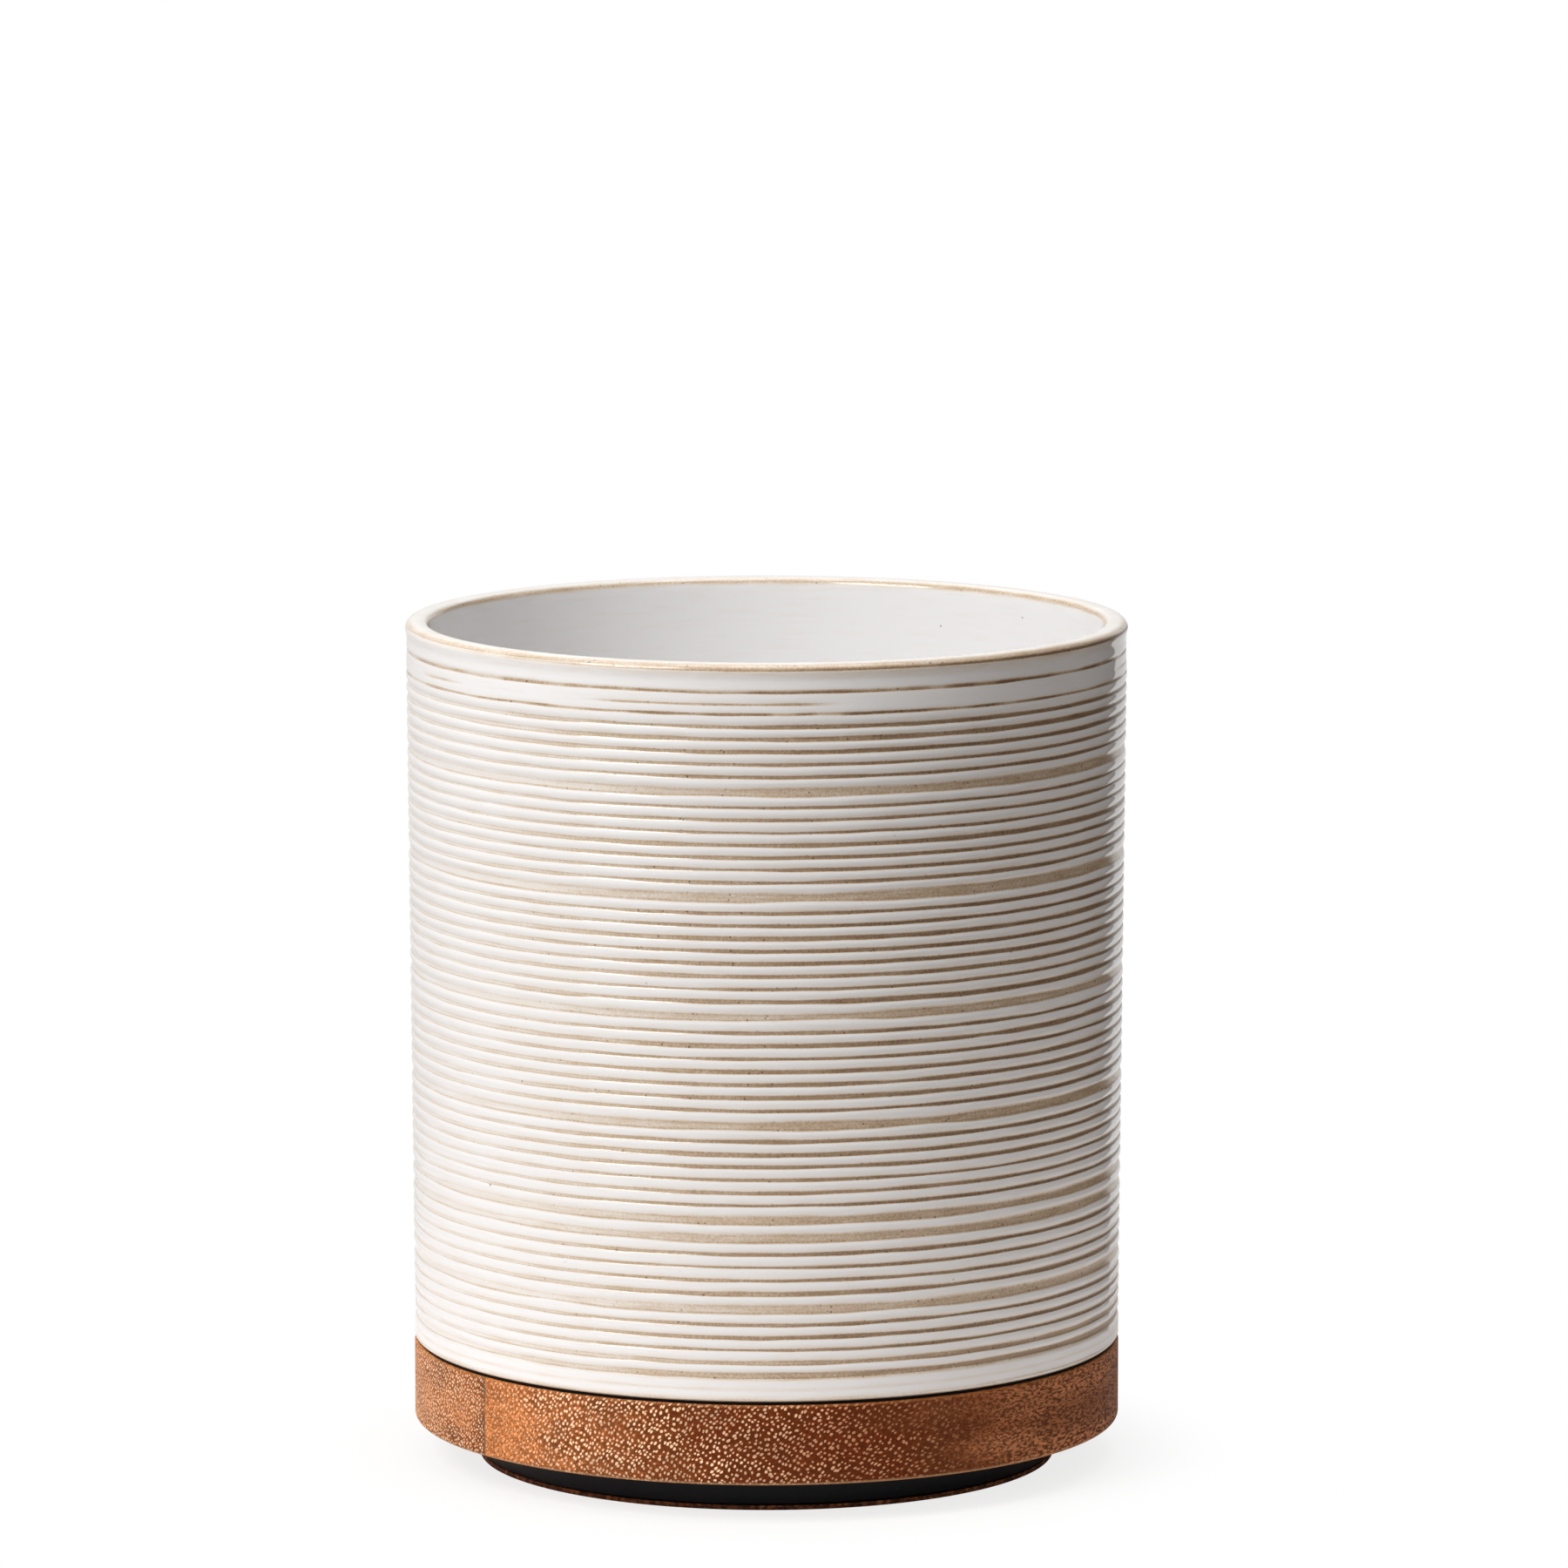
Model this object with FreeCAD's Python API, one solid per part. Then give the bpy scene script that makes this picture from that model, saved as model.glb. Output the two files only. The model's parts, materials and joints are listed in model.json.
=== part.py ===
import FreeCAD, Part
import math
import os

from FreeCAD import Vector

# A ribbed stoneware crock that stands on a turning wooden base.
# Sizes are in millimetres. The origin is on the floor, on the axis, and the front faces -Y.

# Crock
body_radius = 80.0          # bead crests at the crock's foot, and the edge of the board
rim_flare = 1.4             # how much further out the bead crests are at the rim
crock_height = 163.5        # foot face to the top of the rim
crock_wall = 4.0            # straight bore to bead crests, at the foot
crock_floor = 6.5
floor_cove = 2.5            # round between the bore and the floor
lip_round = 1.9
foot_round = 1.0
foot_ring_width = 7.6       # ring that stands on the gasket
foot_recess_depth = 5.2     # hollow inside the foot ring

# Turned grooves, from the rim down: hairlines, then runs of narrow grooves with a wide one between
rim_band = 5.9              # plain glaze above the grooves
foot_band = 5.4             # plain glaze below the grooves
groove_depth = 0.35
hairline_count = 2
hairline_height = 0.6
narrow_height = 1.1
wide_height = 2.3
narrow_runs = (6, 7, 8, 7, 6, 0, 4, 5)

# Seat between the crock and the board
gasket_thickness = 0.7
gasket_inset = 1.0          # edge of the gasket to the edge of the board
spigot_clearance = 0.5      # step on the board that centres the crock, to the foot ring
spigot_top_clearance = 1.3

# Wooden board, two staves glued edge to edge
board_thickness = 18.0
board_arris = 0.5           # chamfer on the upper edges
board_bottom_round = 1.2
glue_line_offset = 36.0     # glue line to the axis
grain_turn = 25.0           # degrees that the staves turn from the front-to-back line

# Black base and its pad
base_inset = 14.6           # edge of the board to the edge of the base
base_height = 6.8
base_round = 0.6
base_deck = 3.2
base_skirt = 2.6
base_rib = 2.0
base_rib_count = 8
base_ring_rib = 5.0         # ring under the ball track
hub_wall = 4.0
cork_thickness = 1.0
cork_inset = 0.2
board_gap = 0.8             # running gap under the board

# Ball bearing
track_inset = 17.4          # edge of the base to the middle of the ball track
track_land = 8.0            # plate beyond the ball track
race_gap = 1.6              # base deck to swivel plate
ball_radius = 2.0
ball_count = 24
track_play = 0.04
cage_rim = 1.35             # cage beside the balls
cage_clearance = 0.3
ball_pocket_play = 0.15
plate_thickness = 3.2
pocket_clearance = 0.4      # plate to the pocket in the board

# Screws that hold the plate in the board
screw_count = 4
screw_inset = 18.0          # ball track to the screws
screw_radius = 1.75
screw_head_overhang = 1.85
screw_length = 14.0
screw_point = 3.0
screw_play = 0.05

# Pivot through the middle of the bearing
bolt_radius = 3.0
bolt_running_play = 0.06
bolt_hole_play = 0.1
hex_wall = 2.0              # shank to the flats of the head and nut
bolt_head_height = 4.0
bolt_head_clearance = 0.4
bolt_end_gap = 0.8          # bolt end to the cork
bolt_end_length = 0.5       # bolt end past the nut
bolt_chamfer = 0.5
nut_height = 3.2
nut_running_gap = 0.1
washer_width = 3.0
washer_thickness = 1.0
washer_clearance = 0.6
hub_gap = 0.4               # top of the hub to the plate

# Heights above the floor
deck_top = cork_thickness + base_height
board_bottom = deck_top + board_gap
board_top = board_bottom + board_thickness
foot_z = board_top + gasket_thickness
recess_top = foot_z + foot_recess_depth
spigot_top = recess_top - spigot_top_clearance
plate_bottom = deck_top + race_gap
plate_top = plate_bottom + plate_thickness
ball_z = deck_top + race_gap / 2
bolt_end = cork_thickness + bolt_end_gap
nut_bottom = bolt_end + bolt_end_length
nut_top = nut_bottom + nut_height
washer_bottom = nut_top + nut_running_gap
washer_top = washer_bottom + washer_thickness
hub_top = plate_bottom - hub_gap

# Radii that follow from the sizes above
recess_radius = body_radius - foot_ring_width
spigot_radius = recess_radius - spigot_clearance
base_radius = body_radius - base_inset
track_radius = base_radius - track_inset
plate_radius = track_radius + track_land
pocket_radius = plate_radius + pocket_clearance
screw_circle = track_radius - screw_inset
washer_radius = bolt_radius + washer_width
washer_bay_radius = washer_radius + washer_clearance
hub_radius = washer_bay_radius + hub_wall
hex_corner = (bolt_radius + hex_wall) / math.cos(math.pi / 6)

up = Vector(0, 0, 1)
centre = Vector(0, 0, 0)


def at(radius, height):
    return Vector(radius, 0, height)


def line(start, end):
    return Part.LineSegment(start, end).toShape()


def rounded_path(corners):
    """Edges through (radius, height, round) corners, each inner corner eased by a tangent arc."""
    edges = []
    start = at(*corners[0][:2])
    for before, here, after in zip(corners, corners[1:], corners[2:]):
        corner = at(*here[:2])
        if here[2] == 0:
            edges.append(line(start, corner))
            start = corner
            continue
        back = (at(*before[:2]) - corner).normalize()
        ahead = (at(*after[:2]) - corner).normalize()
        half_turn = back.getAngle(ahead) / 2
        reach = here[2] / math.tan(half_turn)
        bisector = (back + ahead).normalize()
        middle = corner + bisector * (here[2] / math.sin(half_turn) - here[2])
        edges.append(line(start, corner + back * reach))
        edges.append(Part.Arc(corner + back * reach, middle, corner + ahead * reach).toShape())
        start = corner + ahead * reach
    edges.append(line(start, at(*corners[-1][:2])))
    return edges


def turned(edges):
    """Solid of revolution about the axis from a closed run of edges."""
    return Part.Face(Part.Wire(edges)).revolve(centre, up, 360)


def turned_ring(inner, outer, bottom, top):
    return Part.makeCylinder(outer, top - bottom, at(0, bottom)).cut(
        Part.makeCylinder(inner, top - bottom, at(0, bottom)))


def around(shape, count):
    """Copies of a shape, evenly spaced round the axis."""
    copies = []
    for index in range(count):
        copy = shape.copy()
        copy.rotate(centre, up, index * 360 / count)
        copies.append(copy)
    return copies


def hexagon(bottom, height):
    corners = []
    for index in range(7):
        angle = index * math.pi / 3
        corners.append(Vector(hex_corner * math.cos(angle), hex_corner * math.sin(angle), bottom))
    return Part.Face(Part.makePolygon(corners)).extrude(up * height)


def groove_heights():
    """Heights of all grooves, from the rim down."""
    heights = [hairline_height] * hairline_count
    for index, run in enumerate(narrow_runs):
        if index > 0:
            heights.append(wide_height)
        heights.extend([narrow_height] * run)
    return heights


def crest_radius(height):
    """Outer radius of the crock at a height above the floor."""
    return body_radius + rim_flare * (height - foot_z) / crock_height


def groove_floor(height):
    return at(crest_radius(height) - groove_depth, height)


def ribbed_wall():
    """Outer wall from the rim band down to the foot band: flat groove floors between round beads."""
    grooves = groove_heights()
    top = foot_z + crock_height - rim_band
    room = crock_height - rim_band - foot_band
    bead = (room - sum(grooves)) / (len(grooves) - 1)
    edges = [line(at(crest_radius(top), top), groove_floor(top))]
    for index, groove in enumerate(grooves):
        bottom = top - groove
        edges.append(line(groove_floor(top), groove_floor(bottom)))
        if index == len(grooves) - 1:
            break
        crest = bottom - bead / 2
        top = bottom - bead
        bead_crest = at(crest_radius(crest), crest)
        edges.append(Part.Arc(groove_floor(bottom), bead_crest, groove_floor(top)).toShape())
    edges.append(line(groove_floor(bottom), at(crest_radius(bottom), bottom)))
    return edges


def crock():
    rim = foot_z + crock_height
    bore_radius = body_radius - crock_wall
    floor_top = recess_top + crock_floor
    lip = min(lip_round, 0.45 * (crock_wall + rim_flare))
    ribs_top = rim - rim_band
    ribs_bottom = foot_z + foot_band
    inside = rounded_path([
        (0, floor_top, 0),
        (bore_radius, floor_top, floor_cove),
        (bore_radius, rim, lip),
        (crest_radius(rim), rim, lip),
        (crest_radius(ribs_top), ribs_top, 0),
    ])
    underside = rounded_path([
        (crest_radius(ribs_bottom), ribs_bottom, 0),
        (body_radius, foot_z, foot_round),
        (recess_radius, foot_z, foot_round),
        (recess_radius, recess_top, foot_round),
        (0, recess_top, 0),
    ])
    axis_edge = line(at(0, recess_top), at(0, floor_top))
    return turned(inside + ribbed_wall() + underside + [axis_edge])


def seat_gasket():
    return turned_ring(recess_radius, body_radius - gasket_inset, board_top, foot_z)


def board():
    """Whole wooden board, before it is parted at the glue line."""
    blank = turned(rounded_path([
        (0, board_bottom, 0),
        (body_radius, board_bottom, board_bottom_round),
        (body_radius, board_top - board_arris, 0),
        (body_radius - board_arris, board_top, 0),
        (spigot_radius, board_top, 0),
        (spigot_radius, spigot_top - board_arris, 0),
        (spigot_radius - board_arris, spigot_top, 0),
        (0, spigot_top, 0),
        (0, board_bottom, 0),
    ]))
    pocket = Part.makeCylinder(pocket_radius, plate_top - board_bottom, at(0, board_bottom))
    head_bay = Part.makeCylinder(
        hex_corner + bolt_head_clearance, bolt_head_height + bolt_head_clearance, at(0, plate_top))
    pilot = Part.makeCylinder(
        screw_radius + screw_play, screw_length + screw_play, at(screw_circle, plate_bottom))
    return blank.cut([pocket, head_bay] + around(pilot, screw_count))


def side_of_glue_line(near, far):
    """Block that holds the staves between two distances across the grain."""
    block = Part.makeBox(
        far - near, 4 * body_radius, 4 * board_thickness,
        Vector(near, -2 * body_radius, board_bottom - board_thickness))
    block.rotate(centre, up, -grain_turn)
    return block


def main_stave():
    return board().common(side_of_glue_line(-glue_line_offset, 2 * body_radius))


def side_stave():
    return board().common(side_of_glue_line(-2 * body_radius, -glue_line_offset))


def ball_track():
    return Part.makeTorus(track_radius, ball_radius + track_play, at(0, ball_z))


def swivel_plate():
    disc = Part.makeCylinder(plate_radius, plate_thickness, at(0, plate_bottom))
    pivot_hole = Part.makeCylinder(bolt_radius + bolt_hole_play, plate_thickness, at(0, plate_bottom))
    hole = wood_screw(screw_play)
    return disc.cut([pivot_hole, ball_track()] + around(hole, screw_count))


def wood_screw(play):
    """Countersunk screw pointing up, its head flush with the plate's lower face, grown by a play."""
    shank = screw_radius + play
    head = shank + screw_head_overhang
    tip = plate_bottom + screw_length
    profile = [
        at(0, plate_bottom),
        at(head, plate_bottom),
        at(shank, plate_bottom + head - shank),
        at(shank, tip - screw_point),
        at(0, tip),
        at(0, plate_bottom),
    ]
    screw = Part.Face(Part.makePolygon(profile)).revolve(centre, up, 360)
    screw.translate(at(screw_circle, 0))
    return screw


def plate_screws():
    return Part.makeCompound(around(wood_screw(0), screw_count))


def bearing_balls():
    ball = Part.makeSphere(ball_radius, at(track_radius, ball_z))
    return Part.makeCompound(around(ball, ball_count))


def ball_cage():
    bottom = deck_top + cage_clearance
    top = plate_bottom - cage_clearance
    pocket_size = ball_radius + ball_pocket_play
    reach = pocket_size + cage_rim
    ring = turned_ring(track_radius - reach, track_radius + reach, bottom, top)
    pocket = Part.makeCylinder(pocket_size, top - bottom, at(track_radius, bottom))
    return ring.cut(around(pocket, ball_count))


def swivel_base():
    """Moulded drum: deck, skirt, hub and stiffening ribs, open underneath."""
    bottom = cork_thickness
    deck_bottom = deck_top - base_deck
    shell = turned(rounded_path([
        (bolt_radius + bolt_running_play, washer_top, 0),
        (washer_bay_radius, washer_top, 0),
        (washer_bay_radius, bottom, 0),
        (hub_radius, bottom, 0),
        (hub_radius, deck_bottom, 0),
        (base_radius - base_skirt, deck_bottom, 0),
        (base_radius - base_skirt, bottom, 0),
        (base_radius, bottom, base_round),
        (base_radius, deck_top, base_round),
        (hub_radius, deck_top, 0),
        (hub_radius, hub_top, 0),
        (bolt_radius + bolt_running_play, hub_top, 0),
        (bolt_radius + bolt_running_play, washer_top, 0),
    ]))
    ring_rib = turned_ring(
        track_radius - base_ring_rib / 2, track_radius + base_ring_rib / 2, bottom, deck_top)
    inner_reach = (washer_bay_radius + hub_radius) / 2
    outer_reach = base_radius - base_skirt / 2
    rib = Part.makeBox(
        outer_reach - inner_reach, base_rib, deck_top - bottom - base_deck / 2,
        Vector(inner_reach, -base_rib / 2, bottom))
    return shell.fuse([ring_rib] + around(rib, base_rib_count)).cut(ball_track()).removeSplitter()


def cork_pad():
    return Part.makeCylinder(base_radius - cork_inset, cork_thickness)


def pivot_bolt():
    shank = turned(rounded_path([
        (0, bolt_end, 0),
        (bolt_radius - bolt_chamfer, bolt_end, 0),
        (bolt_radius, bolt_end + bolt_chamfer, 0),
        (bolt_radius, plate_top + bolt_head_height / 2, 0),
        (0, plate_top + bolt_head_height / 2, 0),
        (0, bolt_end, 0),
    ]))
    return shank.fuse(hexagon(plate_top, bolt_head_height)).removeSplitter()


def pivot_nut():
    bore = Part.makeCylinder(bolt_radius + screw_play, nut_height, at(0, nut_bottom))
    return hexagon(nut_bottom, nut_height).cut(bore)


def pivot_washer():
    return turned_ring(bolt_radius + bolt_hole_play, washer_radius, washer_bottom, washer_top)


os.makedirs("parts", exist_ok=True)
for make in (
    crock, seat_gasket, main_stave, side_stave, swivel_plate, plate_screws, ball_cage, bearing_balls,
    swivel_base, cork_pad, pivot_bolt, pivot_washer, pivot_nut,
):
    make().exportStep("parts/" + make.__name__ + ".step")
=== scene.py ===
import json
import math

import bpy
import numpy as np
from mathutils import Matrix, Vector


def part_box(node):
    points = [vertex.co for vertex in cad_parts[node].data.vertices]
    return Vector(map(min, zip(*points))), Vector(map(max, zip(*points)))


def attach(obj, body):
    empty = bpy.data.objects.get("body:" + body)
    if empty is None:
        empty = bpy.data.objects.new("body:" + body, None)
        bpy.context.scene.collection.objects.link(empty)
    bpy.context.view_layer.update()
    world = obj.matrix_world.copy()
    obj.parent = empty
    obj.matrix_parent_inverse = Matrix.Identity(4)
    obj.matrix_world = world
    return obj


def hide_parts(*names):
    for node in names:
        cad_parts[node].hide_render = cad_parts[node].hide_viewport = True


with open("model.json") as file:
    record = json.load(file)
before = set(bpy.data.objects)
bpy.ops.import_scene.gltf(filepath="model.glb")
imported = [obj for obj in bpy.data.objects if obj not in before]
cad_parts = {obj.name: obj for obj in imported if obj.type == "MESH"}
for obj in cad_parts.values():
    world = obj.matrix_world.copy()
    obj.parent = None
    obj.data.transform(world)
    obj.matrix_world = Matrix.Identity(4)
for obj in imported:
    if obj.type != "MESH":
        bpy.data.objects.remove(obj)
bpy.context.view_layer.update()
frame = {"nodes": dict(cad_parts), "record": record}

# A ribbed stoneware crock on a turning wooden base, dressed over its solids.
# Lengths are in metres. Those given in millimetres are multiplied by mm.
# Scales of noise and cells are counts per metre, and turns are waves round the crock, fewest and most.
# Glaze is a share: 1 where it is thick and white, 0 where it breaks to the clay's brown. It also carries
# painted light and shade: thin glaze paler on the lit side, darker glaze under the lip and under each bead.
mm = 0.001
rng = np.random.default_rng(7)

# Crock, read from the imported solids
crock_low, crock_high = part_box("crock")
foot_z = crock_low.z
rim_z = crock_high.z
body_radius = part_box("main_stave")[1].x
rim_radius = crock_high.x
bore = next(m for m in frame["record"]["mounts"] if m["name"] == "crock_bore")
bore_radius = bore["dims"]["r_mm"] * mm
bore_half = bore["dims"]["length_mm"] * mm / 2
bore_low = bore["pos_m"][2] - bore_half
bore_high = bore["pos_m"][2] + bore_half
lip_round = rim_z - bore_high

# Crock, other sizes
floor_cove = 2.5 * mm
foot_round = 1.0 * mm
foot_ring = 7.6 * mm
foot_recess = 5.2 * mm
neck_depth = 0.32 * mm                      # the wall draws in by this much under the lip
neck_middle = 3.6 * mm                      # where it is deepest and where it ends, below the rim
neck_low = 12.0 * mm
thrown_wobble = 0.05 * mm                   # the wall isn't quite round
thrown_limit = 1.5 * thrown_wobble
thrown_turns = (2, 7)

# Rows of the mesh
columns = 256
foot_band_start = 1.1 * foot_round          # just past the rounded edge of the foot
foot_band_count = 22
rim_band_count = 5
bore_count = 24
bore_start = 2 * mm                         # below the end of the straight bore
flat_shares = (0.01, 0.3, 0.6, 0.85)        # across a flat round face, from the middle out

# Turned grooves, as heights above the foot
wide_grooves = [h * mm for h in (20.7, 36.5, 40.5, 61.5, 85.7, 112.1, 135.3)]
narrow_runs = (5, 4, 0, 6, 7, 8, 7, 5)      # narrow grooves below, between and above the wide ones
ribs_low = 3.1 * mm
ribs_high = 152.4 * mm
hairlines = [h * mm for h in (152.4, 154.6, 157.2)]
broken_hairline = hairlines[1]
wide_margin = 0.6 * mm                      # extra room beside a wide groove
groove_depth = 0.35 * mm
wide_width = 2.3 * mm
wide_width_range = (0.85, 1.08)             # share of that width, drawn for each groove
wide_glaze_range = (0.34, 0.44)             # glaze left in it
narrow_width = 0.97 * mm
narrow_width_range = (0.68, 1.2)
narrow_depth_range = (0.8, 1.0)
narrow_glaze_range = (0.0, 0.1)
broad_foot_grooves = 2                      # the lowest narrow grooves, which are broader
foot_groove_width = 1.4 * mm
foot_groove_glaze = 0.14                    # glaze that they keep beside the others
course_wobble = 0.042 * mm                  # of a whole groove, up and down
course_turns = (1, 9)
edge_wobble = 0.035 * mm                    # of each of its edges
edge_turns = (6, 40)
pinch = 0.35                                # share of the width that is lost where a groove narrows
pinch_waver = 0.5
pinch_turns = (3, 14)
groove_shape = (                            # share of width and depth, glaze over it, share of glaze kept; darker glaze towards the upper edge is partly thin glaze, partly painted shade under the bead above
    (0.0, 0.6, 0.4, 1.0),
    (0.13, 0.93, 0.06, 0.62),
    (0.3, 1.0, 0.0, 1.0),
    (0.68, 1.0, 0.0, 1.0),
    (0.85, 1.0, 0.03, 0.85),
    (1.0, 0.74, 0.26, 1.0),
)
bead_glaze_and_shade = (                              # share of a bead's height, glaze there; darker glaze on its lower side is partly thin glaze, partly painted shade
    (0.08, 0.66),
    (0.2, 0.85),
    (0.36, 0.95),
    (0.56, 1.0),
    (0.78, 1.0),
    (0.93, 0.98),
)
bead_lean = 1.3                             # above 1, a bead stands proudest in its upper half
bead_drop = 0.73                            # share of a groove's depth that a bead falls at its edges

# Hairlines near the rim
hairline_width = 0.58 * mm
hairline_depth = 0.12 * mm
hairline_glaze = 0.0
hairline_painted_light_share = 0.55                        # share of the painted paling on the lit side that they take part in
hairline_strength = 0.9                     # how much of them shows, with its waver and its least share
hairline_waver = 0.2
hairline_turns = (9, 60)
hairline_least = 0.6
dashes = ((-63, 5), (-9, 18), (105, 30), (190, 18))    # middle and half length, degrees from the front
dash_fade = 6                               # degrees
dash_strength = 0.65

# Glaze at the foot and the lip
foot_glaze = 0.75
foot_lines = [h * mm for h in (1.0, 2.9)]   # faint marks near the foot
foot_line_spread = 0.4 * mm
foot_line_loss = 0.18
under_lip_shade_start = 2.2 * mm                       # below the lip, where the glaze begins to thin and painted shade under the lip begins
# Glaze just under the lip, by drop below the shoulder: partly thin glaze, partly painted shade under the
# lip
under_lip_glaze_and_shade = ((1.6 * mm, 0.95), (1.1 * mm, 0.9), (0.6 * mm, 0.83), (0.2 * mm, 0.75))
lip_outside = ((4, 0.74), (9, 0.5), (13, 0.0), (21, 0.0), (26, 0.15))   # degrees up from level, glaze
lip_top = ((31, 0.36), (38, 0.5), (50, 0.5), (68, 0.68), (90, 0.84))
lip_top_painted_light_share = 0.25                         # share of the painted paling on the lit side that the top takes part in
lip_inside = ((90, 0.84), (112, 0.9), (128, 0.75), (142, 0.5), (156, 0.5), (168, 0.75), (180, 0.95))

# Painted light: where the glaze runs thin it is painted paler on the lit left side, as angles from the
# front, turning to the right
painted_light_side = math.radians(-70)
painted_light_spread = math.radians(62)
painted_light_gain = 0.85
angles = np.arange(columns) * 2 * math.pi / columns
from_painted_light_side = (angles - painted_light_side + math.pi) % (2 * math.pi) - math.pi
painted_light_paling = painted_light_gain * np.exp(-(from_painted_light_side / painted_light_spread) ** 2)

# Look of the glaze
glaze_colours = (                           # from thin to thick
    (0.0, (0.2, 0.122, 0.071)),
    (0.22, (0.37, 0.252, 0.156)),
    (0.5, (0.6, 0.47, 0.343)),
    (0.78, (0.8, 0.743, 0.675)),
    (1.0, (0.862, 0.857, 0.86)),
)
thin_roughness = 0.3
thick_roughness = 0.035
drawn_scale = (90, 90, 1100)                # uneven cover, drawn out round the crock
fine_scale = 1900
choice_soft = 0.02                          # step in the random value over which a dot comes in
speck_scale = 650
speck_colour = (0.12, 0.07, 0.04)
pinhole_scale = 120
pinhole_colour = (0.09, 0.05, 0.03)
pinhole_strength = 0.8
skin_scale = 160
skin_relief = (0.02 * mm, 0.5)              # a relief is a depth and a strength
clay_scale = 900
clay_colours = ((0.3, (0.42, 0.31, 0.21)), (0.7, (0.56, 0.45, 0.33)))
clay_roughness = 0.85

# Board: fibres run from front to back, turned a little, and two staves meet at a glue line
grain_turn = math.radians(25)
glue_line = -36 * mm
board_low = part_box("main_stave")[0]
board_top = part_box("seat_gasket")[0].z
main_bands_with_painted_light = (                              # growth bands from the left edge of the board to the right, painted paler towards the lit left: partly grain, partly painted light
    (0.26, (0.66, 0.25, 0.085)),
    (0.4, (0.64, 0.225, 0.075)),
    (0.5, (0.47, 0.145, 0.045)),
    (0.64, (0.22, 0.043, 0.009)),
    (0.82, (0.15, 0.026, 0.005)),
    (0.9, (0.19, 0.053, 0.017)),
    (0.95, (0.31, 0.105, 0.04)),
    (0.98, (0.34, 0.13, 0.055)),
)
main_pores = (                              # how strongly the pores show in those bands
    (0.27, 0.28),
    (0.36, 0.5),
    (0.44, 1.0),
    (0.74, 1.0),
    (0.82, 0.75),
    (0.93, 0.6),
)
main_pore_size = 0.9 * mm
main_shift = 0.0                            # parts the noise of the two staves
# Growth bands of the side stave on the lit left, painted pale: partly grain, partly painted light
side_bands_with_painted_light = (
    (0.0, (0.68, 0.32, 0.157)),
    (0.14, (0.65, 0.265, 0.108)),
    (0.27, (0.51, 0.18, 0.063)),
)
side_pores = (
    (0.0, 0.7),
    (0.27, 0.75),
)
side_pore_size = 0.7 * mm
side_shift = 0.31
# Pore colours by band, paler towards the lit left: partly grain, partly painted light
pore_tints_with_painted_light = (
    (0.4, (1.0, 0.8, 0.57)),
    (0.6, (1.0, 0.74, 0.48)),
    (0.75, (1.0, 0.62, 0.38)),
    (0.81, (0.78, 0.4, 0.21)),
    (0.93, (0.5, 0.24, 0.12)),
)

# Grain of the wood, with scales across the board, along the fibres and up
band_drift_scale = (45, 6, 120)             # the growth bands wander
band_drift = 40 * mm
streak_scale = (2200, 600, 2200)
streak_shades = ((0.4, (0.36, 0.31, 0.25)), (0.5, (1.0, 1.0, 1.0)), (0.6, (1.75, 1.75, 1.7)))
cloud_scale = (80, 7, 120)
cloud_strength = 0.5
patch_scale = (75, 8, 130)
dark_wood = (0.1, 0.025, 0.006)
between_strength = 0.75                     # how dark the ground is between the pores
pore_slant = math.radians(35)
pore_stretch = 0.72                         # width of a pore as a share of its length
pore_order = 0.65                           # 0 is a regular grid, 1 is scattered
pore_reach = (0.14, 0.34)                   # smallest and largest pore, as a share of its cell
pore_shake = 2.2 * mm
pore_shake_scale = 170
pore_depth_share = 0.04                     # how fast the pattern changes along the fibres
fleck_scale = (700, 130, 700)               # dark flecks where the fibres run along the face
fleck_strength = 0.6
fleck_colour = (0.07, 0.02, 0.006)
# Painted highlights along the board's edges: on the rounded lower edge partly sanded wood, partly painted
# highlight; on the upper edge a painted highlight
low_edge_highlight_band = (0.35 * mm, 0.9 * mm)
low_edge_highlight_strength = 0.6
low_edge_highlight_colour = (0.52, 0.3, 0.15)
high_edge_highlight_band = (0.2 * mm, 0.6 * mm)
high_edge_highlight_strength = 0.4
high_edge_highlight_colour = (0.52, 0.2, 0.06)
seam_ragged = 1.6 * mm
seam_ragged_scale = 1300
seam_soft = 0.15 * mm
seam_strength = 0.75
seam_colour = (0.1, 0.075, 0.055)
wood_specular = 0.06
wood_roughness = (0.62, 0.45)
wood_relief = (0.05 * mm, 0.6)

# Plastics: colour, roughness, strength of the dust, specular level
base_look = ((0.0025, 0.0042, 0.009), 0.34, 0.7, 0.15)
plate_look = ((0.03, 0.03, 0.032), 0.5, 0.3, 0.5)
cage_look = ((0.74, 0.72, 0.65), 0.45, 0.15, 0.5)
dust_scale = 260
dust_colour = (0.3, 0.3, 0.3)
wear_scale = 60
wear_gain = 1.35                            # worn plastic is lighter by this factor and this step
wear_lift = 0.004
wear_smooth = 0.06                          # how far its roughness falls and rises
wear_rough = 0.08
moulded_scale = 1800
moulded_relief = (0.03 * mm, 0.5)

# Rubber
rubber_scale = 1500
rubber_colours = ((0.3, (0.003, 0.003, 0.003)), (0.7, (0.009, 0.009, 0.009)))
rubber_specular = 0.15
rubber_roughness = (0.65, 0.85)

# Steels: colour, least and most roughness, scale of the marks
ball_look = ((0.75, 0.75, 0.77), 0.06, 0.14, (900, 900, 900))
screw_look = ((0.66, 0.62, 0.52), 0.25, 0.42, (300, 300, 2500))
pivot_look = ((0.6, 0.6, 0.61), 0.25, 0.45, (400, 400, 2500))
dull_share = 0.82
dull_scale = 300
mark_relief = (0.01 * mm, 0.4)

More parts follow.
